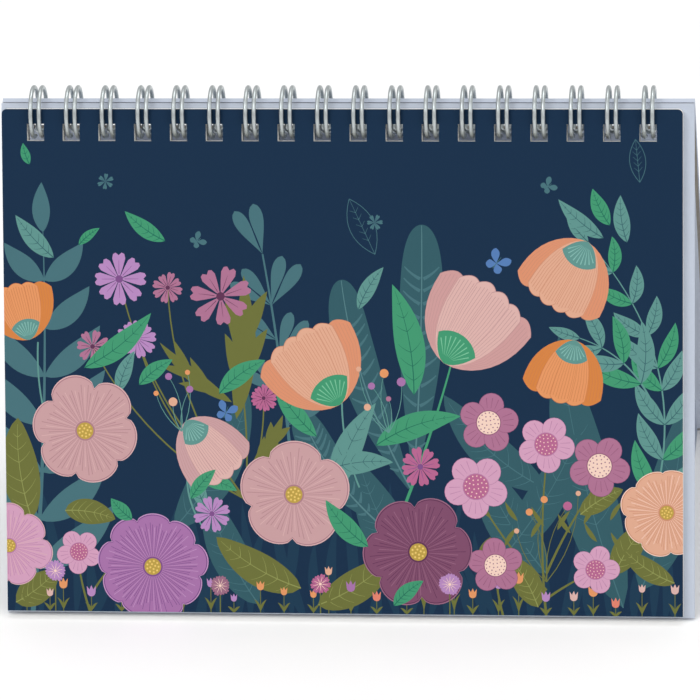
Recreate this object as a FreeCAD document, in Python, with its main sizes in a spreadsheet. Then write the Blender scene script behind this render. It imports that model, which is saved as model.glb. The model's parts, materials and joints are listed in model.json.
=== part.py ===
"""Twin-loop bound desk calendar that stands as a tent.

Two wrapped greyboards lean together on a creased card base. Eighteen twin loops of one wire
pass through both boards and the fourteen leaves. X runs along the binding, the front faces -Y,
Z is up, and the origin is on the desk, midway under the tent.

Each flat piece is drawn in its panel's own coordinates: x along the binding, y up the panel
and z out of it, all counted from the binding's centreline.
"""
import FreeCAD, Part
import math
import os

import Sketcher

Vector = FreeCAD.Vector

MONTHS = 12

SIZES = {
    "lean": 22.0,              # each panel's angle from upright, in degrees
    "board_wide": 163.0,
    "board_head": 2.2,         # the board's top edge above the binding's centreline
    "board_foot": -118.6,      # and its bottom edge below it
    "board_back": 0.95,        # the lining's inner face, out from the centreline
    "lining_thick": 0.2,
    "core_thick": 1.0,
    "wrap_thick": 0.2,
    "lining_inset": 1.0,       # the lining stops this far inside the board's edges
    "leaf_wide": 160.0,
    "leaf_shift": -1.1,        # the leaves sit a little to the left on the board
    "leaf_head": 1.0,
    "leaf_foot": -118.0,
    "edge_foot": -8.0,         # where the punched strip of a leaf ends
    "leaf_corner": 1.2,
    "stack_back": 2.40,        # the rearmost leaf's inner face
    "page_thick": 0.14,
    "page_pitch": 0.15,
    "cover_thick": 0.32,
    "hole_count": 18,
    "hole_pitch": 8.467,       # three holes to the inch
    "hole_wide": 4.0,
    "page_hole_head": -2.5,
    "page_hole_tall": 4.0,
    "board_hole_head": -2.3,
    "board_hole_tall": 4.8,
    "ring_rad": 5.85,          # from the centreline to the middle of the wire
    "wire_rad": 0.5,
    "loop_half": 1.0,          # half the distance between a loop's two wires
    "tip_start": -67.0,        # where the loops' wires reach their joined tips, in degrees
    "bend_rad": 0.8,           # bend from a loop into the run that joins it to the next
    "card_thick": 0.5,
    "card_wide": 156.0,
    "card_flange": 12.0,
    "card_gap": 0.03,          # glue line between the card's rear flange and its board
    "crease_wide": 0.8,
    "crease_deep": 0.2,
}

doc = FreeCAD.newDocument("desk_calendar")
sheet = doc.addObject("Spreadsheet::Sheet", "Sizes")
for row, (alias, value) in enumerate(SIZES.items(), start=1):
    sheet.set(f"A{row}", alias)
    sheet.set(f"B{row}", str(value))
    sheet.setAlias(f"B{row}", alias)
doc.recompute()


def size(alias):
    """A driving dimension's value, read back from the sheet."""
    return float(sheet.get(alias))


def height_of_binding():
    """The centreline's height with the wrapped boards' lowest corners on the desk."""
    lean = math.radians(size("lean"))
    corner = size("board_back") + size("lining_thick")
    return -size("board_foot") * math.cos(lean) - corner * math.sin(lean)


BINDING = Vector(0, 0, height_of_binding())
FRONT = FreeCAD.Placement(BINDING, FreeCAD.Rotation(Vector(1, 0, 0), 90 - size("lean")))
REAR = FreeCAD.Placement(
    BINDING,
    FreeCAD.Rotation(Vector(0, 0, 1), 180) * FreeCAD.Rotation(Vector(1, 0, 0), 90 - size("lean")),
)
finished = []


def finish(piece, label, placement=FreeCAD.Placement()):
    """Names a sub-part, sets it in place and adds it to those that are written."""
    piece.Label = label
    piece.Placement = placement
    finished.append(piece)


def bind(thing, **expressions):
    for name, expression in expressions.items():
        thing.setExpression(name, expression)


def origin_plane(body, role):
    return next(plane for plane in body.Origin.OriginFeatures if plane.Role == role)


def new_sketch(body, name, role="XY_Plane"):
    sketch = body.newObject("Sketcher::SketchObject", name)
    sketch.AttachmentSupport = [(origin_plane(body, role), "")]
    sketch.MapMode = "FlatFace"
    return sketch


def draw_rectangle(sketch, left, foot, wide, tall):
    """A rectangle from its lower left corner, each value an expression on the sheet."""
    corners = [Vector(0, 0, 0), Vector(9, 0, 0), Vector(9, 5, 0), Vector(0, 5, 0)]
    for start, end in zip(corners, corners[1:] + corners[:1]):
        sketch.addGeometry(Part.LineSegment(start, end), False)
    for line in range(4):
        sketch.addConstraint(Sketcher.Constraint("Coincident", line, 2, (line + 1) % 4, 1))
        kind = "Vertical" if line % 2 else "Horizontal"
        sketch.addConstraint(Sketcher.Constraint(kind, line))
    dimensions = (
        ("left", "DistanceX", (-1, 1, 0, 1), left),
        ("foot", "DistanceY", (-1, 1, 0, 1), foot),
        ("wide", "DistanceX", (0, 1, 0, 2), wide),
        ("tall", "DistanceY", (1, 1, 1, 2), tall),
    )
    for name, kind, ends, expression in dimensions:
        index = sketch.addConstraint(Sketcher.Constraint(kind, *ends, 1.0))
        sketch.renameConstraint(index, name)
        sketch.setExpression(f"Constraints.{name}", expression)


def pad(body, sketch, back, thick):
    """Gives a sketch its thickness, starting at the depth called back."""
    sketch.setExpression("AttachmentOffset.Base.z", back)
    feature = body.newObject("PartDesign::Pad", body.Name + "_pad")
    feature.Profile = sketch
    bind(feature, Length=thick)
    sketch.Visibility = False
    return feature


def punch(body, back, head, tall, middle):
    """The row of square holes for the wire, cut outwards from the depth called back."""
    sketch = new_sketch(body, body.Name + "_hole")
    first = f"{middle} - (Sizes.hole_count - 1) / 2 * Sizes.hole_pitch - Sizes.hole_wide / 2"
    draw_rectangle(sketch, first, f"{head} - {tall}", "Sizes.hole_wide", tall)
    sketch.setExpression("AttachmentOffset.Base.z", back)
    doc.recompute()
    hole = body.newObject("PartDesign::Pocket", body.Name + "_pocket")
    hole.Profile = sketch
    hole.Type = "ThroughAll"
    hole.Reversed = True
    doc.recompute()
    row = body.newObject("PartDesign::LinearPattern", body.Name + "_holes")
    row.Originals = [hole]
    row.Direction = (sketch, ["H_Axis"])
    bind(row, Length="(Sizes.hole_count - 1) * Sizes.hole_pitch")
    row.Occurrences = int(size("hole_count"))
    body.Tip = row
    doc.recompute()


def check_punched(body, solid_volume, tall, thick):
    """Stops the build if the holes took out less or more than they should."""
    holes = size("hole_count") * size("hole_wide") * tall * thick
    missing = solid_volume - body.Shape.Volume
    if abs(missing - holes) > 0.01 * holes:
        raise RuntimeError(f"{body.Label}: the holes took {missing:.2f} mm3, not {holes:.2f}")


def punched_panel(label, placement, outline, back, thick, hole, corner=None):
    """A flat piece with the row of holes.

    outline is left, foot, wide and tall; hole is head, tall and the middle of the row.
    """
    body = doc.addObject("PartDesign::Body", label)
    sketch = new_sketch(body, label + "_outline")
    draw_rectangle(sketch, *outline)
    feature = pad(body, sketch, back, thick)
    doc.recompute()
    if corner:
        top = feature.Shape.BoundBox.YMax
        upright = [
            f"Edge{number}"
            for number, edge in enumerate(feature.Shape.Edges, start=1)
            if abs(edge.BoundBox.YMin - top) < 1e-6 and edge.BoundBox.ZLength > 1e-6
        ]
        rounded = body.newObject("PartDesign::Fillet", label + "_corners")
        rounded.Base = (feature, upright)
        bind(rounded, Radius=corner)
        doc.recompute()
    solid_volume = body.Shape.Volume
    punch(body, back, *hole)
    finish(body, label, placement)
    return body, solid_volume


def board(side, placement, middle):
    """One greyboard, its wrapping paper turned over all four edges, and its inner lining."""
    wide, head, foot = "Sizes.board_wide", "Sizes.board_head", "Sizes.board_foot"
    hole = ("Sizes.board_hole_head", "Sizes.board_hole_tall", middle)
    tall = size("board_hole_tall")

    def inset(by):
        return (f"-{wide} / 2 + {by}", f"{foot} + {by}", f"{wide} - 2 * {by}",
                f"{head} - {foot} - 2 * {by}")

    core_back = "Sizes.board_back + Sizes.lining_thick"
    core, volume = punched_panel(f"{side}_board_core", placement, inset("Sizes.wrap_thick"),
                                 core_back, "Sizes.core_thick", hole)
    check_punched(core, volume, tall, size("core_thick"))
    lining, volume = punched_panel(f"{side}_board_lining", placement, inset("Sizes.lining_inset"),
                                   "Sizes.board_back", "Sizes.lining_thick", hole)
    check_punched(lining, volume, tall, size("lining_thick"))

    label = f"{side}_board_wrap"
    body = doc.addObject("PartDesign::Body", label)
    outer = new_sketch(body, label + "_outline")
    draw_rectangle(outer, *inset("0"))
    pad(body, outer, core_back, "Sizes.core_thick + Sizes.wrap_thick")
    doc.recompute()
    before = body.Shape.Volume
    hollow = new_sketch(body, label + "_hollow")
    draw_rectangle(hollow, *inset("Sizes.wrap_thick"))
    hollow.setExpression("AttachmentOffset.Base.z", core_back)
    doc.recompute()
    recess = body.newObject("PartDesign::Pocket", label + "_recess")
    recess.Profile = hollow
    recess.Reversed = True
    bind(recess, Length="Sizes.core_thick")
    doc.recompute()
    taken = before - body.Shape.Volume
    margin = 2 * size("wrap_thick")
    board_tall = size("board_head") - size("board_foot")
    expected = (size("board_wide") - margin) * (board_tall - margin) * size("core_thick")
    if abs(taken - expected) > 0.001 * expected:
        raise RuntimeError(f"{label}: the recess took {taken:.1f} mm3, not {expected:.1f}")
    volume = body.Shape.Volume
    punch(body, core_back, *hole)
    finish(body, label, placement)
    check_punched(body, volume, tall, size("wrap_thick"))


def leaf(name, back, thick):
    """One leaf: the plain sheet below, and the punched strip that the wire runs through."""
    left = "Sizes.leaf_shift - Sizes.leaf_wide / 2"
    plain = doc.addObject("Part::Box", name + "_sheet")
    bind(plain, Length="Sizes.leaf_wide", Width="Sizes.edge_foot - Sizes.leaf_foot", Height=thick)
    corner = Vector(size("leaf_shift") - size("leaf_wide") / 2, size("leaf_foot"), back)
    finish(plain, name + "_sheet", FRONT * FreeCAD.Placement(corner, FreeCAD.Rotation()))
    outline = (left, "Sizes.edge_foot", "Sizes.leaf_wide", "Sizes.leaf_head - Sizes.edge_foot")
    hole = ("Sizes.page_hole_head", "Sizes.page_hole_tall", "Sizes.leaf_shift")
    strip, volume = punched_panel(name + "_punched_edge", FRONT, outline, f"{back:.3f}", thick,
                                  hole, corner="Sizes.leaf_corner")
    check_punched(strip, volume, size("page_hole_tall"), size(thick.split(".")[1]))


def leaves():
    """Twelve month leaves from the back of the stack, then the year leaf and the cover."""
    names = [f"month_{number:02d}" for number in range(MONTHS, 0, -1)] + ["year"]
    for place, name in enumerate(names):
        leaf(name, size("stack_back") + place * size("page_pitch"), "Sizes.page_thick")
    leaf("cover", size("stack_back") + len(names) * size("page_pitch"), "Sizes.cover_thick")


def tube_arc(name, centre, turn, bend_rad, span):
    """A stretch of bent wire: a torus about centre, starting on its own X axis."""
    arc = doc.addObject("Part::Torus", name)
    bind(arc, Radius1=bend_rad, Radius2="Sizes.wire_rad")
    arc.Angle1, arc.Angle2, arc.Angle3 = -180, 180, span
    arc.Placement = FreeCAD.Placement(centre, turn)
    return arc


def axes_rotation(first, second):
    """The turn that takes X to first and Y to second."""
    return FreeCAD.Rotation(first, second, first.cross(second), "XYZ")


def on_ring(angle):
    """A direction square to the binding; 0 points to the rear and 90 straight up."""
    return Vector(0, math.cos(math.radians(angle)), math.sin(math.radians(angle)))


def binding_wire():
    """Eighteen twin loops of one wire, its joined tips just clear of its connecting runs.

    The loops start from the runs at the bottom, inside the tent, climb the front,
    pass over the top and come down behind to the tips.
    """
    along = Vector(1, 0, 0)
    ring, half, bend = size("ring_rad"), size("loop_half"), size("bend_rad")
    run_angle = -90.0
    loop_start = run_angle - math.degrees(bend / ring)
    sweep = 360 + loop_start - size("tip_start")
    tip = on_ring(size("tip_start")) * ring
    tip_way = on_ring(size("tip_start") - 90)
    start_way = on_ring(loop_start + 90)
    start = on_ring(loop_start) * ring
    step, count = size("hole_pitch"), int(size("hole_count"))
    pieces = []
    for number in range(count):
        middle = Vector(size("leaf_shift") + (number - (count - 1) / 2) * step, 0, 0)
        for side in (-1, 1):
            offset = middle + along * (side * half)
            begin = on_ring(size("tip_start"))
            turn = axes_rotation(begin, on_ring(size("tip_start") + 90))
            name = f"loop_{number}_{'left' if side < 0 else 'right'}"
            pieces.append(tube_arc(name, offset, turn, "Sizes.ring_rad", sweep))
            last = number == (0 if side < 0 else count - 1)
            centre = offset + start + along * (side * bend)
            turn = axes_rotation(along * -side, start_way)
            if not last:
                pieces.append(tube_arc(name + "_bend", centre, turn, "Sizes.bend_rad", 90))
        turn = axes_rotation(along, tip_way)
        pieces.append(tube_arc(f"tip_{number}", middle + tip, turn, "Sizes.loop_half", 180))
        if number < count - 1:
            run = doc.addObject("Part::Cylinder", f"run_{number}")
            bind(run, Radius="Sizes.wire_rad",
                 Height="Sizes.hole_pitch - 2 * Sizes.loop_half - 2 * Sizes.bend_rad")
            foot = middle + along * (half + bend) + start + start_way * bend
            run.Placement = FreeCAD.Placement(foot, FreeCAD.Rotation(Vector(0, 0, 1), along))
            pieces.append(run)
    wire = doc.addObject("Part::MultiFuse", "twin_loop_wire")
    wire.Shapes = pieces
    finish(wire, "twin_loop_wire", FreeCAD.Placement(BINDING, FreeCAD.Rotation()))


def inner_face_at(depth, high):
    """Half the tent's width between the faces at this depth, at a height over the desk."""
    lean = math.radians(size("lean"))
    return (math.sin(lean) * (BINDING.z - high) + depth) / math.cos(lean)


def base_card():
    """The creased card between the boards' feet, with a flange glued up inside each board."""
    thick, depth = size("card_thick"), size("board_back")
    lean = math.radians(size("lean"))
    up = Vector(-math.sin(lean), math.cos(lean), 0)
    inward = Vector(-math.cos(lean), -math.sin(lean), 0)

    def half_outline(gap):
        foot = Vector(inner_face_at(depth - gap, 0), 0, 0)
        tip = foot + up * size("card_flange")
        corner = Vector(inner_face_at(depth - gap - thick, thick), thick, 0)
        return [foot, tip, tip + inward * thick, corner]

    front = [Vector(-point.x, point.y, 0) for point in half_outline(0)]
    half = size("crease_wide") / 2
    crease = [Vector(-half, thick, 0), Vector(0, thick - size("crease_deep"), 0),
              Vector(half, thick, 0)]
    rear = half_outline(size("card_gap"))
    outline = front + crease + rear[::-1]

    body = doc.addObject("PartDesign::Body", "base_card")
    sketch = new_sketch(body, "base_card_outline", "YZ_Plane")
    for start, end in zip(outline, outline[1:] + outline[:1]):
        sketch.addGeometry(Part.LineSegment(start, end), False)
    for line in range(len(outline)):
        after = (line + 1) % len(outline)
        sketch.addConstraint(Sketcher.Constraint("Coincident", line, 2, after, 1))
    for line, point in enumerate(outline):
        sketch.addConstraint(Sketcher.Constraint("DistanceX", -1, 1, line, 1, point.x))
        sketch.addConstraint(Sketcher.Constraint("DistanceY", -1, 1, line, 1, point.y))
    feature = body.newObject("PartDesign::Pad", "base_card_pad")
    feature.Profile = sketch
    feature.Midplane = True
    bind(feature, Length="Sizes.card_wide")
    finish(body, "base_card")


def write_parts():
    """Checks every object and writes each sub-part to a file named after it."""
    doc.recompute()
    for item in doc.Objects:
        if "Invalid" in item.State or "Error" in item.State:
            raise RuntimeError(f"{item.Name} failed: {item.State}")
    os.makedirs("parts", exist_ok=True)
    for piece in finished:
        shape = piece.Shape
        if shape.isNull() or not shape.isValid() or len(shape.Solids) != 1:
            raise RuntimeError(f"{piece.Label}: {len(shape.Solids)} solids, valid {shape.isValid()}")
        shape.exportStep(f"parts/{piece.Label}.step")
        print(f"{piece.Label:26s} {shape.Volume:10.2f} mm3")


board("front", FRONT, "Sizes.leaf_shift")
board("rear", REAR, "-Sizes.leaf_shift")  # drawn from behind, so shifted the other way
base_card()
binding_wire()
leaves()
write_parts()
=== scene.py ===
"""Looks for the twin-loop bound desk calendar: printed cover, leaves, boards, card base and wire.

The flat pieces are drawn in millimetres on their own panel and then set in place: x along the
binding, v up the panel and w out of it, all counted from the binding's centreline.
"""
import json
import math
import random

import bmesh
import bpy
import numpy as np
from mathutils import Matrix, Vector
from mathutils.geometry import delaunay_2d_cdt


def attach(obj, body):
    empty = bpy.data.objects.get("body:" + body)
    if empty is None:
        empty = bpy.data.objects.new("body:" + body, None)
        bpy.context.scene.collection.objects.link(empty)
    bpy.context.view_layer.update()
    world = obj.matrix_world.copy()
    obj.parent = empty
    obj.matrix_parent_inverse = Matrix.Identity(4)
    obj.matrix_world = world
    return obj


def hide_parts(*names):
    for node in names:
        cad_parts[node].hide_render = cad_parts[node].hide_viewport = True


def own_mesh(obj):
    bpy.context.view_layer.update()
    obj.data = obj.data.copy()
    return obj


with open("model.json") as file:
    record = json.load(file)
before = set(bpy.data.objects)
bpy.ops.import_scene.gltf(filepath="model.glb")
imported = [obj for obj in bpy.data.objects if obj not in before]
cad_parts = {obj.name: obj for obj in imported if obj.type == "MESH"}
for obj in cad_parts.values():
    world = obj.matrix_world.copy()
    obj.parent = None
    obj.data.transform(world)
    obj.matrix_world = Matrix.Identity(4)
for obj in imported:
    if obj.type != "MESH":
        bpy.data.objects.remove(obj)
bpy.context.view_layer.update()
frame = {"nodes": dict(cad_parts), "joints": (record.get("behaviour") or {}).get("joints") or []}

MM = 0.001
HOLES = 18
HOLE_PITCH = 8.467
MONTH_DAYS = (31, 28, 31, 30, 31, 30, 31, 31, 30, 31, 30, 31)

joints = {joint["name"]: joint for joint in frame["joints"]}
LEAN = math.radians((360 - joints["cover_turn"]["range_deg"][1]) / 2)
BINDING = Vector(joints["stand_fold"]["pos_m"])
FRONT = Matrix.Translation(BINDING) @ Matrix.Rotation(math.pi / 2 - LEAN, 4, "X")
REAR = Matrix.Translation(BINDING) @ Matrix.Rotation(math.pi, 4, "Z") @ Matrix.Rotation(
    math.pi / 2 - LEAN, 4, "X")


# ---------------------------------------------------------------- colours and materials

def linear(rgb):
    """8-bit screen colour to the renderer's linear colour."""
    parts = [value / 255 for value in rgb]
    return [p / 12.92 if p <= 0.04045 else ((p + 0.055) / 1.055) ** 2.4 for p in parts] + [1.0]


INKS = {
    "navy": (24, 47, 72),
    "navy_blade": (30, 58, 80),
    "teal_deep": (52, 90, 99),
    "teal_mid": (71, 111, 119),
    "teal_chevron": (84, 124, 130),
    "teal": (94, 144, 138),
    "teal_vein": (58, 100, 104),
    "mist": (60, 92, 106),
    "mist_light": (132, 182, 172),
    "green": (66, 148, 110),
    "green_dark": (36, 108, 88),
    "green_light": (122, 192, 154),
    "olive": (107, 111, 58),
    "olive_dark": (84, 92, 48),
    "olive_light": (140, 146, 84),
    "rose": (196, 155, 157),
    "rose_line": (168, 122, 132),
    "rose_pale": (212, 174, 174),
    "pink": (214, 174, 168),
    "pink_deep": (200, 152, 150),
    "pink_line": (186, 142, 142),
    "peach": (218, 166, 140),
    "peach_deep": (214, 142, 108),
    "peach_line": (200, 136, 108),
    "orange": (222, 148, 98),
    "orange_deep": (208, 128, 66),
    "orange_line": (200, 122, 76),
    "violet": (163, 112, 164),
    "violet_line": (124, 78, 134),
    "violet_pale": (190, 146, 190),
    "lilac": (178, 134, 186),
    "orchid": (206, 156, 184),
    "orchid_line": (178, 120, 158),
    "mauve": (170, 112, 142),
    "mauve_line": (138, 82, 116),
    "magenta": (178, 100, 140),
    "plum": (124, 76, 104),
    "plum_line": (94, 52, 82),
    "plum_pale": (152, 104, 128),
    "ochre": (184, 154, 72),
    "ochre_dot": (226, 196, 110),
    "cream": (238, 206, 190),
    "blue": (84, 122, 176),
    "ink_dark": (22, 38, 56),
    "coral": (222, 128, 108),
}


def nodes_of(name):
    material = bpy.data.materials.new(name)
    material.use_nodes = True
    tree = material.node_tree
    return material, tree, tree.nodes["Principled BSDF"]


def add_node(tree, kind, links=(), **values):
    """A shader node with its inputs set by name and its input links given as (input, socket)."""
    node = tree.nodes.new(kind)
    for name, value in values.items():
        if name in node.inputs:
            node.inputs[name].default_value = value
        else:
            setattr(node, name, value)
    for target, socket in links:
        tree.links.new(socket, node.inputs[target])
    return node


def noise(tree, scale, detail=3.0, rough=0.55, stretch=(1, 1, 1)):
    place = add_node(tree, "ShaderNodeTexCoord")
    mapping = add_node(tree, "ShaderNodeMapping", [("Vector", place.outputs["Object"])], Scale=stretch)
    return add_node(tree, "ShaderNodeTexNoise", [("Vector", mapping.outputs["Vector"])],
                    Scale=scale, Detail=detail, Roughness=rough)


def ramp(tree, source, low, high, start=0.35, end=0.65):
    node = add_node(tree, "ShaderNodeMapRange", [("Value", source)])
    node.inputs["From Min"].default_value = start
    node.inputs["From Max"].default_value = end
    node.inputs["To Min"].default_value = low
    node.inputs["To Max"].default_value = high
    return node.outputs["Result"]


def set_bump(tree, shader, height, strength, distance):
    bump = add_node(tree, "ShaderNodeBump", [("Height", height)], Strength=strength, Distance=distance)
    tree.links.new(bump.outputs["Normal"], shader.inputs["Normal"])


def ink(name, rgb):
    """Printed card: an ink colour with the card's grain in its gloss and its surface."""
    material, tree, shader = nodes_of("ink_" + name)
    shader.inputs["Base Color"].default_value = linear(rgb)
    grain = noise(tree, 2600, 4)
    tree.links.new(ramp(tree, grain.outputs["Fac"], 0.50, 0.66), shader.inputs["Roughness"])
    set_bump(tree, shader, noise(tree, 5200, 3).outputs["Fac"], 0.10, 0.00004)
    shader.inputs["Specular IOR Level"].default_value = 0.06
    return material


def paper(name, rgb, mottle=0.05, fibre=900, bump=0.25, rough=(0.72, 0.9), stretch=(1, 1, 1)):
    """Paper or board: cloudy tone, fine fibres and a matte, slightly uneven surface."""
    material, tree, shader = nodes_of(name)
    cloud = noise(tree, 55, 5)
    fibres = noise(tree, fibre, 6, 0.7, stretch)
    mixed = add_node(tree, "ShaderNodeMath", [(0, cloud.outputs["Fac"]), (1, fibres.outputs["Fac"])],
                     operation="ADD")
    tone = ramp(tree, mixed.outputs["Value"], 1 - mottle, 1 + mottle, 0.7, 1.3)
    base = add_node(tree, "ShaderNodeRGB")
    base.outputs[0].default_value = linear(rgb)
    shade = add_node(tree, "ShaderNodeVectorMath", [("Vector", base.outputs[0]), ("Scale", tone)],
                     operation="SCALE")
    tree.links.new(shade.outputs["Vector"], shader.inputs["Base Color"])
    tree.links.new(ramp(tree, fibres.outputs["Fac"], *rough), shader.inputs["Roughness"])
    set_bump(tree, shader, fibres.outputs["Fac"], bump, 0.00008)
    shader.inputs["Specular IOR Level"].default_value = 0.22
    return material


def wire_metal():
    """Drawn steel with a satin coat: a faint bloom in its tone and gloss."""
    material, tree, shader = nodes_of("drawn_wire")
    shader.inputs["Metallic"].default_value = 0.8
    streak = noise(tree, 900, 4, 0.6, (0.15, 1, 1))
    base = add_node(tree, "ShaderNodeRGB")
    base.outputs[0].default_value = linear((190, 197, 198))
    tone = ramp(tree, streak.outputs["Fac"], 0.96, 1.03)
    shade = add_node(tree, "ShaderNodeVectorMath", [("Vector", base.outputs[0]), ("Scale", tone)],
                     operation="SCALE")
    tree.links.new(shade.outputs["Vector"], shader.inputs["Base Color"])
    tree.links.new(ramp(tree, streak.outputs["Fac"], 0.30, 0.38), shader.inputs["Roughness"])
    set_bump(tree, shader, noise(tree, 9000, 2).outputs["Fac"], 0.03, 0.00001)
    return material


INK = {name: ink(name, rgb) for name, rgb in INKS.items()}
PAGE = paper("page_paper", (243, 241, 236), 0.02, 1500, 0.15)
# Painted shade: the wrap's lavender grey is the cool shade seen on white paper edges, set as its colour.
PAINTED_SHADE_WRAP = paper("board_wrap", (190, 198, 212), 0.035, 1100, 0.35, (0.6, 0.8), (1, 2.2, 1))
LINING = paper("board_lining", (204, 210, 221), 0.03, 900, 0.25)
GREYBOARD = paper("greyboard", (150, 144, 134), 0.16, 700, 0.6)
# Painted shade: the base card takes the same cool shade of white paper as its colour.
PAINTED_SHADE_CARD = paper("base_card", (190, 198, 212), 0.04, 900, 0.3, (0.6, 0.8), (1, 2.2, 1))
WIRE = wire_metal()
NUMBER_INK = ink("number", (58, 68, 88))
GRID_INK = ink("grid", (186, 196, 208))


# ---------------------------------------------------------------- flat pieces

def panel_box(nodes, panel=FRONT):
    """Lowest and highest x, v, w of some CAD nodes at rest, in millimetres on their panel."""
    to_panel = panel.inverted()
    points = [to_panel @ vertex.co for node in nodes for vertex in frame["nodes"][node].data.vertices]
    values = np.array(points) / MM
    return values.min(0), values.max(0)


def hole_outlines(middle, foot, head, wide=4.0):
    """The square holes' corners, from the middle of the row."""
    outlines = []
    for number in range(HOLES):
        x = middle + (number - (HOLES - 1) / 2) * HOLE_PITCH
        half = wide / 2
        outlines.append([(x - half, foot), (x + half, foot), (x + half, head), (x - half, head)])
    return outlines


def rounded_outline(low, high, radius, steps=6):
    """A rectangle with its two upper corners rounded."""
    outline = [(low[0], low[1]), (high[0], low[1])]
    for centre_x, start in ((high[0] - radius, 0), (low[0] + radius, 90)):
        for step in range(steps + 1):
            angle = math.radians(start + 90 * step / steps)
            outline.append((centre_x + radius * math.cos(angle),
                            high[1] - radius + radius * math.sin(angle)))
    return outline


def anticlockwise(points):
    """The same loop, turned if need be so that its inside lies to its left."""
    area = sum(x0 * y1 - x1 * y0 for (x0, y0), (x1, y1) in zip(points, points[1:] + points[:1]))
    return points if area > 0 else points[::-1]


def partition(outline, shapes, holes):
    """Cuts a flat outline into triangles, each in the colour of the shape lying uppermost."""
    loops = [anticlockwise(loop) for loop in [outline] + [points for points, _ in shapes] + holes]
    points, faces = [], []
    for loop in loops:
        faces.append(list(range(len(points), len(points) + len(loop))))
        points += [Vector(point) for point in loop]
    flat, _, triangles, _, _, sources = delaunay_2d_cdt(points, [], faces, 1, 1e-4, True)
    kept, colours = [], []
    for triangle, above in zip(triangles, sources):
        top = max(above, default=0)
        if 0 in above and top <= len(shapes):
            kept.append(triangle)
            colours.append(shapes[top - 1][1] if top else None)
    return flat, kept, colours


def boundary_loops(triangles):
    """The loops of edges that only one triangle uses."""
    edges = {pair for triangle in triangles for pair in zip(triangle, triangle[1:] + triangle[:1])}
    following = {a: b for a, b in edges if (b, a) not in edges}
    loops = []
    while following:
        start, following_one = following.popitem()
        loop = [start]
        while following_one != start:
            loop.append(following_one)
            following_one = following.pop(following_one)
        loops.append(loop)
    return loops


def plain_back(flat, loops):
    """Triangles between the boundary loops alone; each corner is a place in the loops' joint list."""
    loops = sorted(loops, key=lambda loop: -max(abs(flat[i].x - flat[loop[0]].x) for i in loop))
    points, faces = [], []
    for loop in loops:
        places = [(flat[i].x, flat[i].y) for i in loop]
        order = list(range(len(points), len(points) + len(loop)))
        faces.append(order if anticlockwise(places) is places else order[::-1])
        points += [Vector(place) for place in places]
    _, _, triangles, origin, _, sources = delaunay_2d_cdt(points, [], faces, 1, 1e-4, True)
    rim = [i for loop in loops for i in loop]
    return rim, [tuple(origin[corner][0] for corner in triangle)
                 for triangle, above in zip(triangles, sources) if list(above) == [0]]


def card_mesh(name, outline, shapes, holes, low, high, panel, ground, rear, materials):
    """A closed sheet between two depths, printed on its outer face."""
    flat, triangles, colours = partition(outline, shapes, holes)
    loops = boundary_loops(triangles)
    rim, back = plain_back(flat, loops)
    count = len(flat)
    behind = {i: count + place for place, i in enumerate(rim)}
    vertices = [panel @ Vector((p.x * MM, p.y * MM, high * MM)) for p in flat]
    vertices += [panel @ Vector((flat[i].x * MM, flat[i].y * MM, low * MM)) for i in rim]
    walls = [(a, behind[a], behind[b], b) for loop in loops for a, b in zip(loop, loop[1:] + loop[:1])]
    faces = list(triangles) + [tuple(count + place for place in reversed(corners)) for corners in back] + walls
    mesh = bpy.data.meshes.new(name)
    mesh.from_pydata(vertices, [], faces)
    slots = {key: index for index, key in enumerate(materials)}
    for material in materials.values():
        mesh.materials.append(material)
    indices = [slots[colour or ground] for colour in colours] + [slots[rear]] * (len(back) + len(walls))
    mesh.polygons.foreach_set("material_index", indices)
    mesh.update()
    piece = bpy.data.objects.new(name, mesh)
    bpy.context.scene.collection.objects.link(piece)
    cleaned = bmesh.new()
    cleaned.from_mesh(mesh)
    loose = [vertex for vertex in cleaned.verts if not vertex.link_faces]
    bmesh.ops.delete(cleaned, geom=loose, context="VERTS")
    cleaned.to_mesh(mesh)
    cleaned.free()
    return piece


# ---------------------------------------------------------------- drawing, in millimetres

class Drawing:
    """Closed shapes in painter's order, each with its ink."""

    def __init__(self, seed):
        self.shapes = []
        self.random = random.Random(seed)

    def add(self, points, colour):
        self.shapes.append(([(float(x), float(y)) for x, y in points], colour))

    def disc(self, x, y, radius, colour, sides=14, squash=1.0, turn=0.0):
        points = []
        for step in range(sides):
            angle = 2 * math.pi * step / sides
            a, b = radius * math.cos(angle), radius * squash * math.sin(angle)
            points.append((x + a * math.cos(turn) - b * math.sin(turn),
                           y + a * math.sin(turn) + b * math.cos(turn)))
        self.add(points, colour)

    def stroke(self, points, start, end, colour):
        """A line whose width runs from start to end, in millimetres."""
        left, right = [], []
        for index, (x, y) in enumerate(points):
            before = points[max(index - 1, 0)]
            after = points[min(index + 1, len(points) - 1)]
            dx, dy = after[0] - before[0], after[1] - before[1]
            length = math.hypot(dx, dy) or 1.0
            half = (start + (end - start) * index / (len(points) - 1)) / 2
            left.append((x - dy / length * half, y + dx / length * half))
            right.append((x + dy / length * half, y - dx / length * half))
        self.add(left + right[::-1], colour)


def curve(start, end, bend, steps=10, ease=1.0):
    """A bowed line: bend is its control point's offset as a share of its length, ease above 1 crowds its end."""
    (x0, y0), (x1, y1) = start, end
    cx = (x0 + x1) / 2 - (y1 - y0) * bend
    cy = (y0 + y1) / 2 + (x1 - x0) * bend
    points = []
    for step in range(steps + 1):
        t = 1 - (1 - step / steps) ** ease
        points.append(((1 - t) ** 2 * x0 + 2 * t * (1 - t) * cx + t * t * x1,
                       (1 - t) ** 2 * y0 + 2 * t * (1 - t) * cy + t * t * y1))
    return points


def normals(points):
    result = []
    for index in range(len(points)):
        before, after = points[max(index - 1, 0)], points[min(index + 1, len(points) - 1)]
        dx, dy = after[0] - before[0], after[1] - before[1]
        length = math.hypot(dx, dy) or 1.0
        result.append((-dy / length, dx / length, dx / length, dy / length))
    return result


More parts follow.
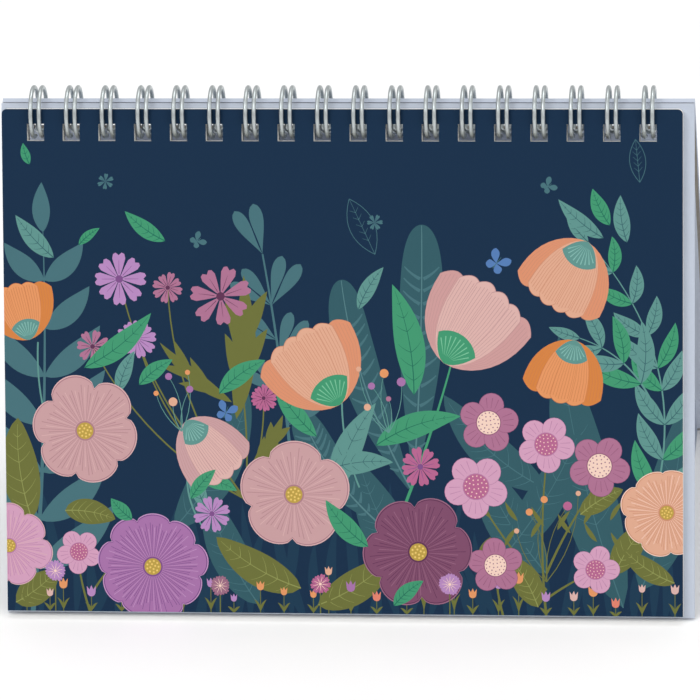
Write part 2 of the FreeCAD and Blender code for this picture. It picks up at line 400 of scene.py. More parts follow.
def blade(draw, start, end, width, bend, colour, peak=0.85, blunt=0.9, teeth=0.0, steps=16):
    """A leaf or petal outline about a bowed midrib; returns the midrib and its half widths."""
    rib = curve(start, end, bend, steps)
    halves = [width / 2 * max(math.sin(math.pi * (i / steps) ** peak), 0.0) ** blunt
              for i in range(steps + 1)]
    left, right = [], []
    for index, ((x, y), (nx, ny, tx, ty)) in enumerate(zip(rib, normals(rib))):
        half = halves[index]
        if teeth and 0 < index < steps:
            half *= 1 + (teeth if index % 2 else -teeth)
        lead = half * 0.35 if teeth and index % 2 else 0.0
        left.append((x + nx * half + tx * lead, y + ny * half + ty * lead))
        right.append((x - nx * half + tx * lead, y - ny * half + ty * lead))
    draw.add(left + right[-2:0:-1], colour)
    return rib, halves


def leaf(draw, start, end, width, bend=0.1, colour="teal", vein="teal_vein", pairs=6, **form):
    """A leaf with its midrib and side veins."""
    rib, halves = blade(draw, start, end, width, bend, colour, **form)
    if not vein:
        return
    draw.stroke(rib[:-1], 0.26, 0.08, vein)
    across = normals(rib)
    for pair in range(1, pairs + 1):
        index = round(pair * (len(rib) - 3) / (pairs + 0.5))
        x, y = rib[index]
        nx, ny, tx, ty = across[index]
        reach = halves[min(index + 2, len(rib) - 1)] * 0.78
        for side in (-1, 1):
            tip = (x + nx * reach * side + tx * reach * 0.85, y + ny * reach * side + ty * reach * 0.85)
            draw.stroke(curve((x, y), tip, 0.12 * side, 3), 0.17, 0.06, vein)


def chevron_leaf(draw, start, end, width, bend):
    """A tall paddle-shaped leaf with paler chevrons either side of its midrib."""
    steps, ease = 40, 1.9
    rib = curve(start, end, bend, steps, ease)
    across = normals(rib)
    halves = []
    for index in range(steps + 1):
        t = 1 - (1 - index / steps) ** ease
        halves.append(width / 2 * (0.12 + 0.88 * math.sin(math.pi / 2 * min(t / 0.65, 1.0))) * (1 - t ** 9) ** 0.5)
    sides = [[(x + nx * half * side, y + ny * half * side)
              for (x, y), (nx, ny, _, _), half in zip(rib, across, halves)] for side in (1, -1)]
    draw.add(sides[0] + sides[1][-2::-1], "teal_deep")
    for index in range(2, 24, 2):
        x, y = rib[index]
        nx, ny, tx, ty = across[index]
        reach = halves[index + 2] * 0.86
        for side in (-1, 1):
            foot = (x + nx * 0.4 * side, y + ny * 0.4 * side)
            tip = (x + nx * reach * side + tx * reach * 0.7, y + ny * reach * side + ty * reach * 0.7)
            draw.stroke(curve(foot, tip, 0.1 * side, 4), 0.8, 0.25, "teal_mid")
    draw.stroke(rib[:-2], 0.4, 0.15, "teal_chevron")


def jagged_leaf(draw, start, end, width, bend, colour):
    """A narrow leaf with two barbs on each side."""
    rib, _ = blade(draw, start, end, width, bend, colour)
    across = normals(rib)
    length = math.dist(start, end)
    for index, side in ((5, 1), (6, -1), (9, 1), (10, -1)):
        x, y = rib[index]
        nx, ny, tx, ty = across[index]
        reach = length * 0.27
        tip = (x + (tx + nx * side * 0.55) * reach, y + (ty + ny * side * 0.55) * reach)
        foot = (x - tx * reach * 0.55, y - ty * reach * 0.55)
        blade(draw, foot, tip, width * 0.62, -0.10 * side, colour, 1.0, 0.9, steps=10)


def forked_leaf(draw, x, y, reach, angle, colour):
    """Two round-ended lobes from one point."""
    for split in (-0.2, 0.2):
        a = angle + split
        blade(draw, (x, y), (x + reach * math.cos(a), y + reach * math.sin(a)), reach * 0.27, 0.15 * split,
              colour, 2.2, 0.55, steps=20)


def round_flower(draw, x, y, radius, petals, fill, line, pale, turn=0.0, notch=0.20):
    """A wide open flower: one lobed outline, fine lines from the middle and a dotted disc."""
    grow = [1 + draw.random.uniform(-0.05, 0.05) for _ in range(petals)]

    def edge(angle):
        place = (angle - turn) / (2 * math.pi) * petals
        lobe = abs(math.sin(math.pi * place)) ** 0.55
        return radius * (1 - notch * (1 - lobe)) * (1 + (grow[int(place) % petals] - 1) * lobe)

    def ring(scale, colour):
        around = (turn + 2 * math.pi * step / (14 * petals) for step in range(14 * petals))
        draw.add([(x + edge(a) * scale * math.cos(a), y + edge(a) * scale * math.sin(a)) for a in around], colour)

    ring(1.025, pale)
    ring(1.005, line)
    ring(0.985, fill)
    rays = 13 * petals
    for ray in range(rays):
        a = turn + 2 * math.pi * (ray + 0.5) / rays
        reach = edge(a) * draw.random.uniform(0.70, 0.93)
        start = (x + radius * 0.2 * math.cos(a), y + radius * 0.2 * math.sin(a))
        end = (x + reach * math.cos(a + 0.02), y + reach * math.sin(a + 0.02))
        draw.stroke([start, end], 0.06, radius * 0.011, pale if ray % 3 == 0 else line)
    disc = radius * 0.16
    draw.disc(x, y, disc * 1.18, line, 18)
    draw.disc(x, y, disc, "ochre", 16)
    for around, count in ((0.68, 9), (0.3, 4)):
        for dot in range(count):
            angle = 2 * math.pi * dot / count + around
            draw.disc(x + disc * around * math.cos(angle), y + disc * around * math.sin(angle),
                      disc * 0.13, "ochre_dot", 6)


def cup_flower(draw, x, y, length, width, turn, light, deep, line, calyx="green", count=7):
    """A cup seen from the side. It opens along turn, in degrees, from its calyx at x, y."""
    angle = math.radians(turn)
    forward, side = (math.cos(angle), math.sin(angle)), (-math.sin(angle), math.cos(angle))

    def place(a, b):
        return (x + forward[0] * b + side[0] * a, y + forward[1] * b + side[1] * a)

    def bowl(t, s):
        """A place on the cup: t across it from -1 to 1, s along it from 0 at the calyx to 1."""
        return place(-width / 2 * t * (1 - (1 - min(s, 1.0)) ** 2.4) ** 0.58, length * s * (1 - 0.16 * t * t))

    def strip(t0, t1, rim, bulge, colour):
        """The part of the cup between two meridians, with a bulging rim."""
        sides = [(k / 10) ** 1.6 for k in range(11)]
        outline = [bowl(t0, s * rim) for s in sides]
        outline += [bowl(t0 + (t1 - t0) * k / 10, rim + bulge * math.sin(math.pi * k / 10) ** 0.8)
                    for k in range(1, 10)]
        outline += [bowl(t1, s * rim) for s in sides[:0:-1]]
        draw.add(outline, colour)

    strip(-0.9, 0.9, 0.86, 0.04, deep)
    half = 1.22 / count
    order = sorted(range(count), key=lambda k: -abs(k - (count - 1) / 2))
    for k in order:
        t = 2 * (k - (count - 1) / 2) / (count - 1) * (1.0 - half)
        rim = 0.92 + draw.random.uniform(-0.015, 0.015)
        strip(t - half, t + half, rim, 0.07, line)
        strip(t - half * 0.96, t + half * 0.96, rim - 0.006, 0.068, deep if abs(t) > 0.66 else light)
        for lane in (-0.8, -0.5, -0.2, 0.1, 0.4, 0.7):
            meridian = [bowl(t + half * lane, s) for s in (0.1, 0.3, 0.6, 0.93 - 0.05 * abs(lane))]
            draw.stroke(meridian, 0.06, 0.13, line)
    cap = [bowl(0.6, 0.26 * (k / 6) ** 1.6) for k in range(7)]
    cap += [bowl(0.6 - 0.12 * k, 0.26 + 0.10 * (1 - (1 - k / 5) ** 2)) for k in range(1, 10)]
    cap += [bowl(-0.6, 0.26 * (k / 6) ** 1.6) for k in range(6, 0, -1)]
    draw.add(cap, calyx)
    for k in range(-4, 5):
        draw.stroke([bowl(0.07 * k, 0.08), bowl(0.125 * k, 0.31 - 0.006 * k * k)], 0.06, 0.26,
                    "green_light" if calyx == "green" else "mist_light")


def daisy(draw, x, y, radius, petals, fill, line, turn=0.0):
    """Narrow petals with a notch in each tip."""
    for petal in range(petals):
        angle = turn + 2 * math.pi * petal / petals
        ux, uy = math.cos(angle), math.sin(angle)
        reach = radius * draw.random.uniform(0.9, 1.06)
        wide = radius * 0.25
        profile = ((0.08, 0.10), (0.45, 0.62), (0.78, 1.0), (0.95, 0.86), (1.0, 0.45), (0.9, 0.0))
        left = [(x + ux * reach * s - uy * wide * h, y + uy * reach * s + ux * wide * h)
                for s, h in profile]
        right = [(x + ux * reach * s + uy * wide * h, y + uy * reach * s - ux * wide * h)
                 for s, h in profile[-2::-1]]
        draw.add(left + right, fill)
        draw.stroke([(x + ux * reach * 0.2, y + uy * reach * 0.2),
                     (x + ux * reach * 0.72, y + uy * reach * 0.72)], 0.16, 0.06, line)
    draw.disc(x, y, radius * 0.15, line, 8)


def disc_flower(draw, x, y, radius, petal, line, disc, dot, turn=0.3):
    """Five round petals about a large patterned disc."""
    for step in range(5):
        angle = turn + 2 * math.pi * step / 5
        px, py = x + radius * 0.60 * math.cos(angle), y + radius * 0.60 * math.sin(angle)
        draw.disc(px, py, radius * 0.43, line, 20)
        draw.disc(px, py, radius * 0.415, petal, 20)
        for spoke in (-0.25, 0.0, 0.25):
            a = angle + spoke
            draw.stroke([(x + radius * 0.5 * math.cos(a), y + radius * 0.5 * math.sin(a)),
                         (x + radius * 0.86 * math.cos(a), y + radius * 0.86 * math.sin(a))],
                        0.08, 0.14, line)
    draw.disc(x, y, radius * 0.43, line, 22)
    draw.disc(x, y, radius * 0.40, disc, 22)
    for ring, count in ((0.34, 16), (0.22, 9), (0.10, 4)):
        for mark in range(count):
            a = 2 * math.pi * mark / count + ring * 9
            draw.disc(x + radius * ring * math.cos(a), y + radius * ring * math.sin(a),
                      radius * 0.026, dot, 5)


def tulip(draw, x, y, high, colour, stem="olive", size=1.25):
    """A tiny three-pointed tulip with two leaves, on a stem of that height."""
    draw.stroke([(x, y), (x, y + high)], 0.22, 0.16, stem)
    for side in (-1, 1):
        blade(draw, (x, y + high * 0.15), (x + side * 1.5, y + high * 0.62), 0.6, 0.2 * side, stem,
              steps=8)
    top = y + high
    cup = [(x + size * 0.62 * math.cos(a), top + size * 0.5 + size * 0.6 * math.sin(a))
           for a in (math.pi + math.pi * s / 8 for s in range(9))]
    cup += [(x + size * 0.7, top + size * 1.5), (x + size * 0.3, top + size * 0.95),
            (x, top + size * 1.6), (x - size * 0.3, top + size * 0.95), (x - size * 0.7, top + size * 1.5)]
    draw.add(cup, colour)


def berries(draw, root, tips, colours, stem="teal"):
    for index, tip in enumerate(tips):
        draw.stroke(curve(root, tip, 0.18 * (-1) ** index, 6), 0.22, 0.12, stem)
        draw.disc(*tip, 0.62 + 0.22 * (index % 3), colours[index % len(colours)], 12)


def butterfly(draw, x, y, size, turn, colour):
    for spread, reach in ((0.7, 1.0), (2.2, 0.7)):
        for side in (-1, 1):
            a = turn + side * spread
            blade(draw, (x, y), (x + size * reach * math.cos(a), y + size * reach * math.sin(a)),
                  size * 0.55, 0.1 * side, colour, 1.5, 0.7, steps=14)
    draw.stroke([(x - 0.4 * size * math.cos(turn), y - 0.4 * size * math.sin(turn)),
                 (x + 0.5 * size * math.cos(turn), y + 0.5 * size * math.sin(turn))], 0.22, 0.1, "teal_mid")


def sprig(draw, stem, width, pairs, size, colours, veins, stem_colour, splay=0.75, thick=0.45):
    """Leaves in pairs along a bowed stem, smaller towards its tip, and one at the end."""
    draw.stroke(stem, thick, 0.2, stem_colour)
    across = normals(stem)
    for pair in range(pairs):
        index = round((pair + 1) * (len(stem) - 1) / (pairs + 1))
        x, y = stem[index]
        nx, ny, tx, ty = across[index]
        reach = size * (1.0 - 0.45 * pair / pairs) * draw.random.uniform(0.9, 1.1)
        for side in (-1, 1):
            tip = (x + (nx * side * splay + tx * (1.15 - splay * 0.4)) * reach,
                   y + (ny * side * splay + ty * (1.15 - splay * 0.4)) * reach)
            choice = (pair + (side > 0)) % len(colours)
            leaf(draw, (x, y), tip, width * (1 - 0.3 * pair / pairs), 0.14 * side, colours[choice],
                 veins[choice], 5)
    x, y = stem[-1]
    nx, ny, tx, ty = across[-1]
    leaf(draw, (x, y), (x + tx * size * 0.62, y + ty * size * 0.62), width * 0.62, 0.05, colours[0], veins[0], 4)


def line_leaf(draw, start, end, width, colour):
    """Only the outline and veins of a leaf."""
    for side in (-1, 1):
        draw.stroke(curve(start, end, side * width / 12, 10), 0.14, 0.14, colour)
    rib = curve(start, end, 0.0, 8)
    draw.stroke(rib, 0.12, 0.08, colour)
    for index in range(2, 7):
        x, y = rib[index]
        nx, ny, tx, ty = normals(rib)[index]
        for side in (-1, 1):
            draw.stroke([(x, y), (x + nx * side * width * 0.22 + tx, y + ny * side * width * 0.22 + ty)],
                        0.1, 0.06, colour)


def cover_art():
    """A border of garden flowers that fills the lower part of a 160 by 119 mm cover."""
    draw = Drawing(7)
    # dim grasses and broad leaves behind everything
    for number in range(46):
        x = 2 + number * 3.5 + draw.random.uniform(-1, 1)
        tall = draw.random.uniform(12, 34)
        blade(draw, (x, -2), (x + draw.random.uniform(-6, 6), tall), 2.6, draw.random.uniform(-0.15, 0.15),
              "navy_blade", steps=10)
    for start, end, width, bend in (((146, 2), (131, 66), 13, 0.06), ((128, 10), (112, 38), 11, 0.1),
                                    ((60, 2), (48, 30), 9, 0.12), ((98, 8), (84, 36), 11, 0.1),
                                    ((150, 6), (160, 50), 12, -0.1), ((40, 20), (58, 52), 10, -0.12),
                                    ((128, 30), (104, 52), 9, 0.15), ((118, 14), (136, 44), 9, -0.08)):
        leaf(draw, start, end, width, bend, "teal_deep", "teal_mid", 8, blunt=0.75)
    chevron_leaf(draw, (97, 34), (99, 92), 10.5, -0.02)
    chevron_leaf(draw, (96, 30), (80, 79), 9.5, 0.10)
    chevron_leaf(draw, (88, 22), (70, 48), 8.5, 0.12)
    # tall sprig on the left
    stem = curve((6, -1), (9.5, 90), -0.03, 24)
    sprig(draw, stem, 6.8, 7, 19, ("teal_mid",), (None,), "teal_mid", 0.85, 1.2)
    # forked sprig left of the middle
    stem = curve((69, 20), (61.5, 85), -0.03, 16)
    draw.stroke(stem, 0.9, 0.4, "teal_mid")
    for index, turn, reach in ((6, 0.8, 10), (8, 2.5, 10), (10, 1.1, 11), (11, 2.6, 9), (13, 1.15, 12), (13, 2.45, 11),
                               (16, 1.95, 12)):
        forked_leaf(draw, *stem[index], reach, turn, "teal_mid")
    # olive jagged leaves and arching stems of the small lilac flowers
    for start, end, width, bend in (((55, 46), (57, 80), 5.6, -0.06), ((54, 50), (37, 64), 3.2, 0.1),
                                    ((58, 33), (66, 47), 3.4, -0.1)):
        jagged_leaf(draw, start, end, width, bend, "olive")
    daisies = ((27.5, 79, 6.2, 8, "lilac"), (39, 77, 3.6, 8, "mauve"), (51.5, 75, 7.0, 7, "mauve"),
               (31.5, 65, 4.6, 9, "lilac"), (21, 63, 3.9, 7, "mauve"), (61.5, 51, 3.2, 9, "magenta"))
    for x, y, radius, petals, colour in daisies:
        draw.stroke(curve((57, 27), (x, y), 0.16 if x < 50 else -0.1, 14), 0.45, 0.3, "olive")
    for x, y, radius, petals, colour in daisies:
        daisy(draw, x, y, radius, petals, colour, "violet_line" if colour == "lilac" else "plum_line", x)
    # sprigs on the right, in two greens, whose stems arch over to the hanging cups
    for foot, head, bend, pairs in (((151, 20), (138, 88), -0.30, 8), ((153, 50), (136, 65.5), -0.22, 3)):
        sprig(draw, curve(foot, head, bend, 26), 4.3, pairs, 12.5, ("teal", "green", "teal"),
              ("teal_vein", "green_dark", "teal_vein"), "teal", 0.62, 0.5)
    for start, end, colour in (((141.5, 89), (131, 98), "teal"), ((143, 92), (139, 100.5), "green"),
                               ((147, 88), (145.5, 99), "teal")):
        leaf(draw, start, end, 3.8, 0.1, colour, "teal_vein" if colour == "teal" else "green_dark", 6)
    # single green leaves
    for start, end, width, bend, colour in (
            ((38.5, 88), (29, 95), 3.8, 0.1, "green"), ((18, 87), (23, 91), 2.2, 0.1, "green"),
            ((19, 58), (35, 71), 5.2, -0.12, "green"), ((51, 52), (62, 60), 4.6, 0.12, "green"),
            ((74, 42), (64, 55), 4.5, 0.1, "green"), ((12, 84), (3, 94), 4.4, 0.08, "teal"),
            ((97, 52), (92, 78), 7.0, -0.1, "green"), ((88, 40), (108, 47), 6.0, 0.14, "green"),
            ((78, 28), (88, 50), 6.4, 0.12, "teal"), ((76, 34), (92, 36), 5.4, 0.12, "teal"),
            ((48, 24), (44, 37), 3.6, 0.1, "teal"), ((46, 32), (55, 29), 3.6, 0.12, "green"),
            ((46, 38), (54, 44), 3.8, -0.12, "teal"), ((84, 72), (90, 82), 3.6, 0.1, "teal"),
            ((27, 52), (31, 62), 3.6, 0.1, "teal"), ((32, 54), (40, 60), 3.8, 0.1, "green")):
        vein = "green_dark" if colour == "green" else "teal_vein"
        leaf(draw, start, end, width, bend, colour, vein, 6)
    # cup flowers on their stems
    for root, tip, bend, colour in (((13, 36), (8, 64), 0.12, "teal"), ((88, 10), (106, 60), -0.04, "green"),
                                    ((84, 30), (80, 50), 0.1, "teal"), ((47, 20), (46, 42), 0.3, "teal")):
        draw.stroke(curve(root, tip, bend, 14), 0.9 if colour == "green" else 0.4, 0.4, colour)
    cup_flower(draw, 6.0, 64.5, 14, 17, 105, "orange", "orange_deep", "orange_line", "teal", 5)
    cup_flower(draw, 79.5, 49.5, 20, 25, 122, "peach", "peach_deep", "peach_line", "green", 6)
    cup_flower(draw, 43.0, 45.5, 17, 17.5, -52, "pink", "rose", "pink_line", "teal", 5)
    cup_flower(draw, 104.0, 59.5, 22, 26, 54, "pink", "pink_deep", "pink_line", "green", 6)
    cup_flower(draw, 138.0, 88.0, 18, 22, 240, "peach", "peach_deep", "peach_line", "teal", 6)
    cup_flower(draw, 135.0, 65.0, 15.5, 19, 254, "orange", "orange_deep", "orange_line", "teal", 5)
    # berries
    berries(draw, (42, 43), ((36, 52), (39, 56), (40, 50), (43.5, 57), (44, 53)), ("orange", "violet", "peach"))
    berries(draw, (91, 43), ((84, 58), (87, 54), (90, 57), (91, 51), (86, 49), (94, 55)),
            ("peach", "violet", "orange", "mauve"))
    # olive leaves low down
    for start, end, width, bend in (((6, 22), (3, 46), 9, 0.1), ((2, 2), (12, 10), 7, -0.1), ((14, 24), (26, 22), 6, 0.12),
                                    ((70, 6), (50, 18), 8, 0.12), ((74, 2), (92, 14), 8, -0.12),
                                    ((126, 2), (119, 14), 6.5, -0.1), ((144, 10), (152, 22), 6.5, 0.1),
                                    ((136, 24), (146, 30), 5, 0.1), ((158, 8), (146, 16), 5, 0.12)):
        leaf(draw, start, end, width, bend, "olive", "olive_light", 6, blunt=0.7)
    for root, tip in (((128, -1), (127.8, 34)), ((128, 6), (113, 26)), ((128, 10), (139, 30)), ((128, 4), (138, 10)),
                      ((118, -1), (116, 10)), ((20, -1), (17, 12)), ((20, 4), (26, 12))):
        draw.stroke(curve(root, tip, 0.05, 8), 0.6, 0.35, "olive")
    for number in range(12):
        x, y = 112 + number * 3.1, 14 + 9 * abs(math.sin(number * 1.7))
        blade(draw, (x, y), (x + 3 * (-1) ** number, y + 4.6), 1.1, 0.1, "olive", steps=8)
    # a row of tiny tulips along the foot
    tints = ("orange", "peach", "lilac", "pink", "coral", "violet")
    for number in range(28):
        x = 3.2 + number * 5.7 + draw.random.uniform(-1.6, 1.6)
        tulip(draw, x, -0.5, draw.random.uniform(2.5, 10.5), tints[draw.random.randrange(6)],
              size=draw.random.uniform(1.1, 1.7))
    # disc flowers
    for x, y, radius, kind in ((114.5, 45.5, 6.9, 0), (128, 40.5, 6.6, 1), (140.5, 35.5, 7.1, 0), (111.5, 30.4, 7.4, 1),
                               (116, 11.8, 6.4, 0), (139.5, 11, 5.6, 1), (17.2, 14.2, 5.2, 1)):
        petal, line, disc, dot = (("mauve", "mauve_line", "cream", "mauve_line"),
                                  ("orchid", "orchid_line", "magenta", "cream"))[kind]
        disc_flower(draw, x, y, radius, petal, line, disc, dot, x)
    # large round flowers
    round_flower(draw, 19, 43, 12.6, 6, "rose", "rose_line", "rose_pale", 0.3)
    round_flower(draw, 0.5, 15.5, 10.0, 7, "orchid", "orchid_line", "rose_pale", 0.2)
    round_flower(draw, 34.8, 10.8, 12.6, 9, "violet", "violet_line", "violet_pale", 0.5, 0.12)
    round_flower(draw, 68.5, 28.2, 12.8, 5, "rose", "rose_line", "rose_pale", 0.9)
    round_flower(draw, 97.8, 14.8, 13.0, 6, "plum", "plum_line", "plum_pale", 0.6)
    round_flower(draw, 156.2, 24.6, 10.4, 8, "peach", "peach_line", "cream", 0.1, 0.12)
    # small flowers in front
    for x, y, radius, petals, colour in ((49, 23.5, 4.3, 8, "lilac"), (98.4, 35, 4.8, 8, "magenta"),
                                         (11.5, 9.6, 2.5, 10, "lilac"), (50.8, 6.4, 2.4, 10, "plum_pale"),
                                         (74.6, 7, 2.4, 9, "magenta"), (105.2, 7.2, 2.6, 12, "lilac")):
        if y < 10:
            draw.stroke([(x, -1), (x, y)], 0.3, 0.25, "olive")
        daisy(draw, x, y, radius, petals, colour, "cream" if radius < 3 else "violet_line", x)
    for start, end, width, bend, colour in (((86, 16), (76, 27), 5.0, 0.12, "green"), ((30, 22), (25, 27), 3.6, 0.1, "green"),
                                            ((44, 27), (50, 34), 3.4, 0.1, "green"), ((92, 2), (99, 8), 3.8, 0.1, "green")):
        leaf(draw, start, end, width, bend, colour, "green_dark", 6)
    berries(draw, (128, 8), ((121, 20), (124, 24.5), (133, 26), (135.5, 29), (127.5, 27.5)), ("peach", "orange", "magenta"), "olive")
    # loose motifs in the open ground above
    for start, end, width in (((88, 85), (82, 98), 5), ((150, 102), (149, 112), 4.5)):
        line_leaf(draw, start, end, width, "teal_mid")
    for x, y in ((46, 88), (128.5, 101)):
        butterfly(draw, x, y, 2.4, 0.6, "teal_mid")
    for x, y in ((24.5, 102), (88, 92.5)):
        daisy(draw, x, y, 1.9, 6, "teal_mid", "mist", x)
    leaf(draw, (6.5, 106), (5, 111), 2.2, 0.1, "green", "green_dark", 3)
    butterfly(draw, 116.5, 83, 3.6, 0.9, "blue")
    butterfly(draw, 52.5, 47.5, 3.2, 1.2, "blue")
    return draw.shapes


# Each digit is one or two lines on a cell 0.6 wide and 1 tall.
DIGITS = {
    "0": ([(0.3, 1), (0.08, 0.8), (0.05, 0.5), (0.08, 0.2), (0.3, 0), (0.52, 0.2), (0.55, 0.5), (0.52, 0.8),
           (0.3, 0.99)],),
    "1": ([(0.12, 0.78), (0.36, 1), (0.36, 0)],),
    "2": ([(0.06, 0.78), (0.2, 0.98), (0.42, 0.98), (0.54, 0.76), (0.44, 0.5), (0.05, 0.02)], [(0.05, 0.03), (0.56, 0.03)]),
    "3": ([(0.08, 0.94), (0.36, 1), (0.52, 0.78), (0.4, 0.56), (0.22, 0.53)],
          [(0.3, 0.54), (0.54, 0.36), (0.5, 0.1), (0.3, 0), (0.06, 0.08)]),
    "4": ([(0.42, 0), (0.42, 1), (0.04, 0.3)], [(0.04, 0.29), (0.58, 0.29)]),
    "5": ([(0.5, 0.98), (0.14, 0.98), (0.1, 0.55), (0.34, 0.6), (0.54, 0.42), (0.5, 0.12), (0.28, 0), (0.06, 0.08)],),
    "6": ([(0.46, 0.98), (0.2, 0.8), (0.07, 0.45), (0.1, 0.14), (0.3, 0), (0.52, 0.14), (0.5, 0.44), (0.3, 0.56),
           (0.12, 0.42)],),
    "7": ([(0.05, 0.98), (0.55, 0.98), (0.22, 0)],),
    "8": ([(0.3, 0.54), (0.1, 0.76), (0.3, 1), (0.5, 0.76), (0.31, 0.54)],
          [(0.3, 0.54), (0.06, 0.26), (0.3, 0), (0.54, 0.26), (0.31, 0.54)]),
    "9": ([(0.14, 0.02), (0.4, 0.2), (0.53, 0.55), (0.5, 0.86), (0.3, 1), (0.08, 0.86), (0.1, 0.56), (0.3, 0.44),
           (0.48, 0.58)],),
}


def write_number(draw, number, x, y, tall, colour):
    """A number drawn as lines, its lower left corner at x, y."""
    for place, digit in enumerate(str(number)):
        for line in DIGITS[digit]:
            points = [(x + tall * (px + 0.72 * place), y + tall * py) for px, py in line]
            draw.stroke(points, tall * 0.10, tall * 0.10, colour)


def month_art(month, wide, tall):
    """A month: its number, a row of flowers down one side and a grid of dates."""
    draw = Drawing(100 + month)
    left, foot, step_x, step_y = 46.0, 8.0, (wide - 54.0) / 7, 13.4
    draw.add([(0, 0), (36, 0), (36, tall), (0, tall)], "navy")
    tints = (("rose", "rose_line", "rose_pale"), ("violet", "violet_line", "violet_pale"),
             ("peach", "peach_line", "cream"), ("orchid", "orchid_line", "rose_pale"))
    for place in range(5):
        x, y = 9 + 17 * (place % 2) + draw.random.uniform(-2, 2), 10 + 15.5 * place
        for turn in (0.5, 2.4, 4.2):
            leaf(draw, (x, y), (x + 12 * math.cos(turn + place), y + 12 * math.sin(turn + place)), 4.6, 0.1,
                 ("green", "teal", "olive")[place % 3], "teal_deep", 5)
        round_flower(draw, x, y, 7.5 - 0.6 * place, 5 + place, *tints[(place + month) % 4])
    write_number(draw, month, left, tall - 24, 9, "navy")
    for column in range(8):
        x = left + column * step_x
        draw.stroke([(x, foot), (x, foot + 6 * step_y)], 0.14, 0.14, "grid")
    for row in range(7):
        y = foot + row * step_y
        draw.stroke([(left, y), (left + 7 * step_x, y)], 0.14, 0.14, "grid")
    first = (sum(MONTH_DAYS[:month - 1]) + 3) % 7
    for day in range(1, MONTH_DAYS[month - 1] + 1):
        cell = first + day - 1
        write_number(draw, day, left + (cell % 7) * step_x + 1.6, foot + (6 - cell // 7) * step_y - 4.6, 3.0,
                     "coral" if cell % 7 == 6 else "number")
    return draw.shapes


def year_art(wide, tall):
    """Twelve small grids of dates, three rows of four."""
    draw = Drawing(90)
    for month in range(1, 13):
        left = 10 + 36.5 * ((month - 1) % 4)
        top = tall - 20 - 31 * ((month - 1) // 4)
        write_number(draw, month, left, top, 3.4, "navy")
        first = (sum(MONTH_DAYS[:month - 1]) + 3) % 7
        for day in range(1, MONTH_DAYS[month - 1] + 1):
            cell = first + day - 1
            write_number(draw, day, left + 4.4 * (cell % 7), top - 4.2 - 3.6 * (cell // 7), 1.5,
                         "coral" if cell % 7 == 6 else "number")
    return draw.shapes


def holes_on(low, high):
    """A leaf's row of holes: 3.5 mm below its head, 4 mm square."""
    return hole_outlines((low[0] + high[0]) / 2, high[1] - 7.5, high[1] - 3.5)


def make_leaf(name, shapes, ground, rear, materials):
    """One whole leaf in place of its sheet and its punched edge."""
    nodes = (name + "_sheet", name + "_punched_edge")
    low, high = panel_box(nodes)
    moved = [([(x + low[0], y + low[1]) for x, y in points], colour) for points, colour in shapes]
    piece = card_mesh(name + "_leaf_print", rounded_outline(low, high, 1.2), moved, holes_on(low, high),
                      low[2], high[2], FRONT, ground, rear, materials)
    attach(piece, name + "_leaf")
    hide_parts(*nodes)
    return piece


ALL_INKS = {**INK, "number": NUMBER_INK, "grid": GRID_INK, "page": PAGE}


def inks_for(shapes):
    """Only the inks a leaf uses, and its bare paper."""
    used = {colour for _, colour in shapes}
    return {name: material for name, material in ALL_INKS.items() if name in used or name == "page"}


cover_shapes = cover_art()
make_leaf("cover", cover_shapes, "navy", "page", {"navy": INK["navy"], **inks_for(cover_shapes)})
PAGE_LOW, PAGE_HIGH = panel_box(("month_01_sheet", "month_01_punched_edge"))
PAGE_WIDE, PAGE_TALL = PAGE_HIGH[0] - PAGE_LOW[0], PAGE_HIGH[1] - PAGE_LOW[1]
pages = {f"month_{month:02d}": month_art(month, PAGE_WIDE, PAGE_TALL) for month in range(1, 13)}
pages["year"] = year_art(PAGE_WIDE, PAGE_TALL)
for page, page_shapes in pages.items():
    make_leaf(page, page_shapes, "page", "page", inks_for(page_shapes))


for side in ("front", "rear"):
    for part, material in (("core", GREYBOARD), ("wrap", PAINTED_SHADE_WRAP), ("lining", LINING)):
        frame["nodes"][f"{side}_board_{part}"].data.materials.clear()
        frame["nodes"][f"{side}_board_{part}"].data.materials.append(material)
frame["nodes"]["twin_loop_wire"].data.materials.clear()
frame["nodes"]["twin_loop_wire"].data.materials.append(WIRE)
for polygon in frame["nodes"]["twin_loop_wire"].data.polygons:
    polygon.use_smooth = True


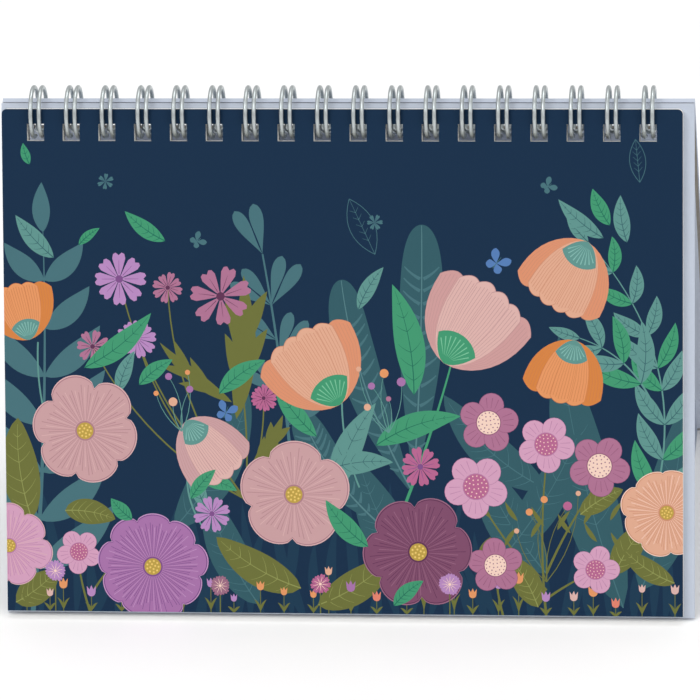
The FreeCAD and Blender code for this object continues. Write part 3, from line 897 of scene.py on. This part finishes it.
def folding_card():
    """The creased base card, which lies flat against the front board when the stand is closed."""
    card = bpy.data.objects.new("creased_base_card", frame["nodes"]["base_card"].data.copy())
    card.data.materials.clear()
    card.data.materials.append(PAINTED_SHADE_CARD)
    bpy.context.scene.collection.objects.link(card)
    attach(card, "front_panel")
    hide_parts("base_card")
    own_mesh(card)


folding_card()


# ---------------------------------------------------------------- floor, light and camera

def plain_floor():
    bpy.ops.mesh.primitive_plane_add(size=12, location=(0, 0, -0.0002))
    floor = bpy.context.object
    floor.name = "floor"
    floor.data.materials.append(paper("floor_paper", (252, 252, 252), 0.004, 60, 0.02))


def area_light(name, place, size, power):
    data = bpy.data.lights.new(name, "AREA")
    data.shape, data.size, data.energy = "DISK", size, power
    lamp = bpy.data.objects.new(name, data)
    bpy.context.scene.collection.objects.link(lamp)
    lamp.location = place
    lamp.rotation_euler = (Vector((0, 0, 0.05)) - Vector(place)).to_track_quat("-Z", "Y").to_euler()


def studio():
    area_light("key", (-0.9, -1.5, 1.9), 1.2, 20)
    area_light("fill", (1.6, -1.0, 1.2), 1.6, 8)
    area_light("top", (0.1, 0.6, 2.2), 1.6, 16)
    world = bpy.data.worlds.new("studio")
    world.use_nodes = True
    world.node_tree.nodes["Background"].inputs["Color"].default_value = (1, 1, 1, 1)
    world.node_tree.nodes["Background"].inputs["Strength"].default_value = 0.55
    bpy.context.scene.world = world
    bpy.context.scene.view_settings.view_transform = "Standard"


def photo_camera():
    """A long lens from a little right of square on, and slightly above the cover's own axis."""
    azimuth, elevation, roll = math.radians(7.0), math.radians(27.9), math.radians(-3.0)
    distance = 1.396
    target = Vector((-0.0022, 0, 0.0464))
    way = Vector((math.sin(azimuth) * math.cos(elevation), -math.cos(azimuth) * math.cos(elevation),
                  math.sin(elevation)))
    data = bpy.data.cameras.new("camera")
    data.lens, data.sensor_width = 300, 36
    camera = bpy.data.objects.new("camera", data)
    bpy.context.scene.collection.objects.link(camera)
    camera.location = target + way * distance
    turn = (-way).to_track_quat("-Z", "Y").to_matrix().to_4x4()
    camera.rotation_euler = (turn @ Matrix.Rotation(roll, 4, "Z")).to_euler()
    bpy.context.scene.camera = camera


plain_floor()
studio()
photo_camera()
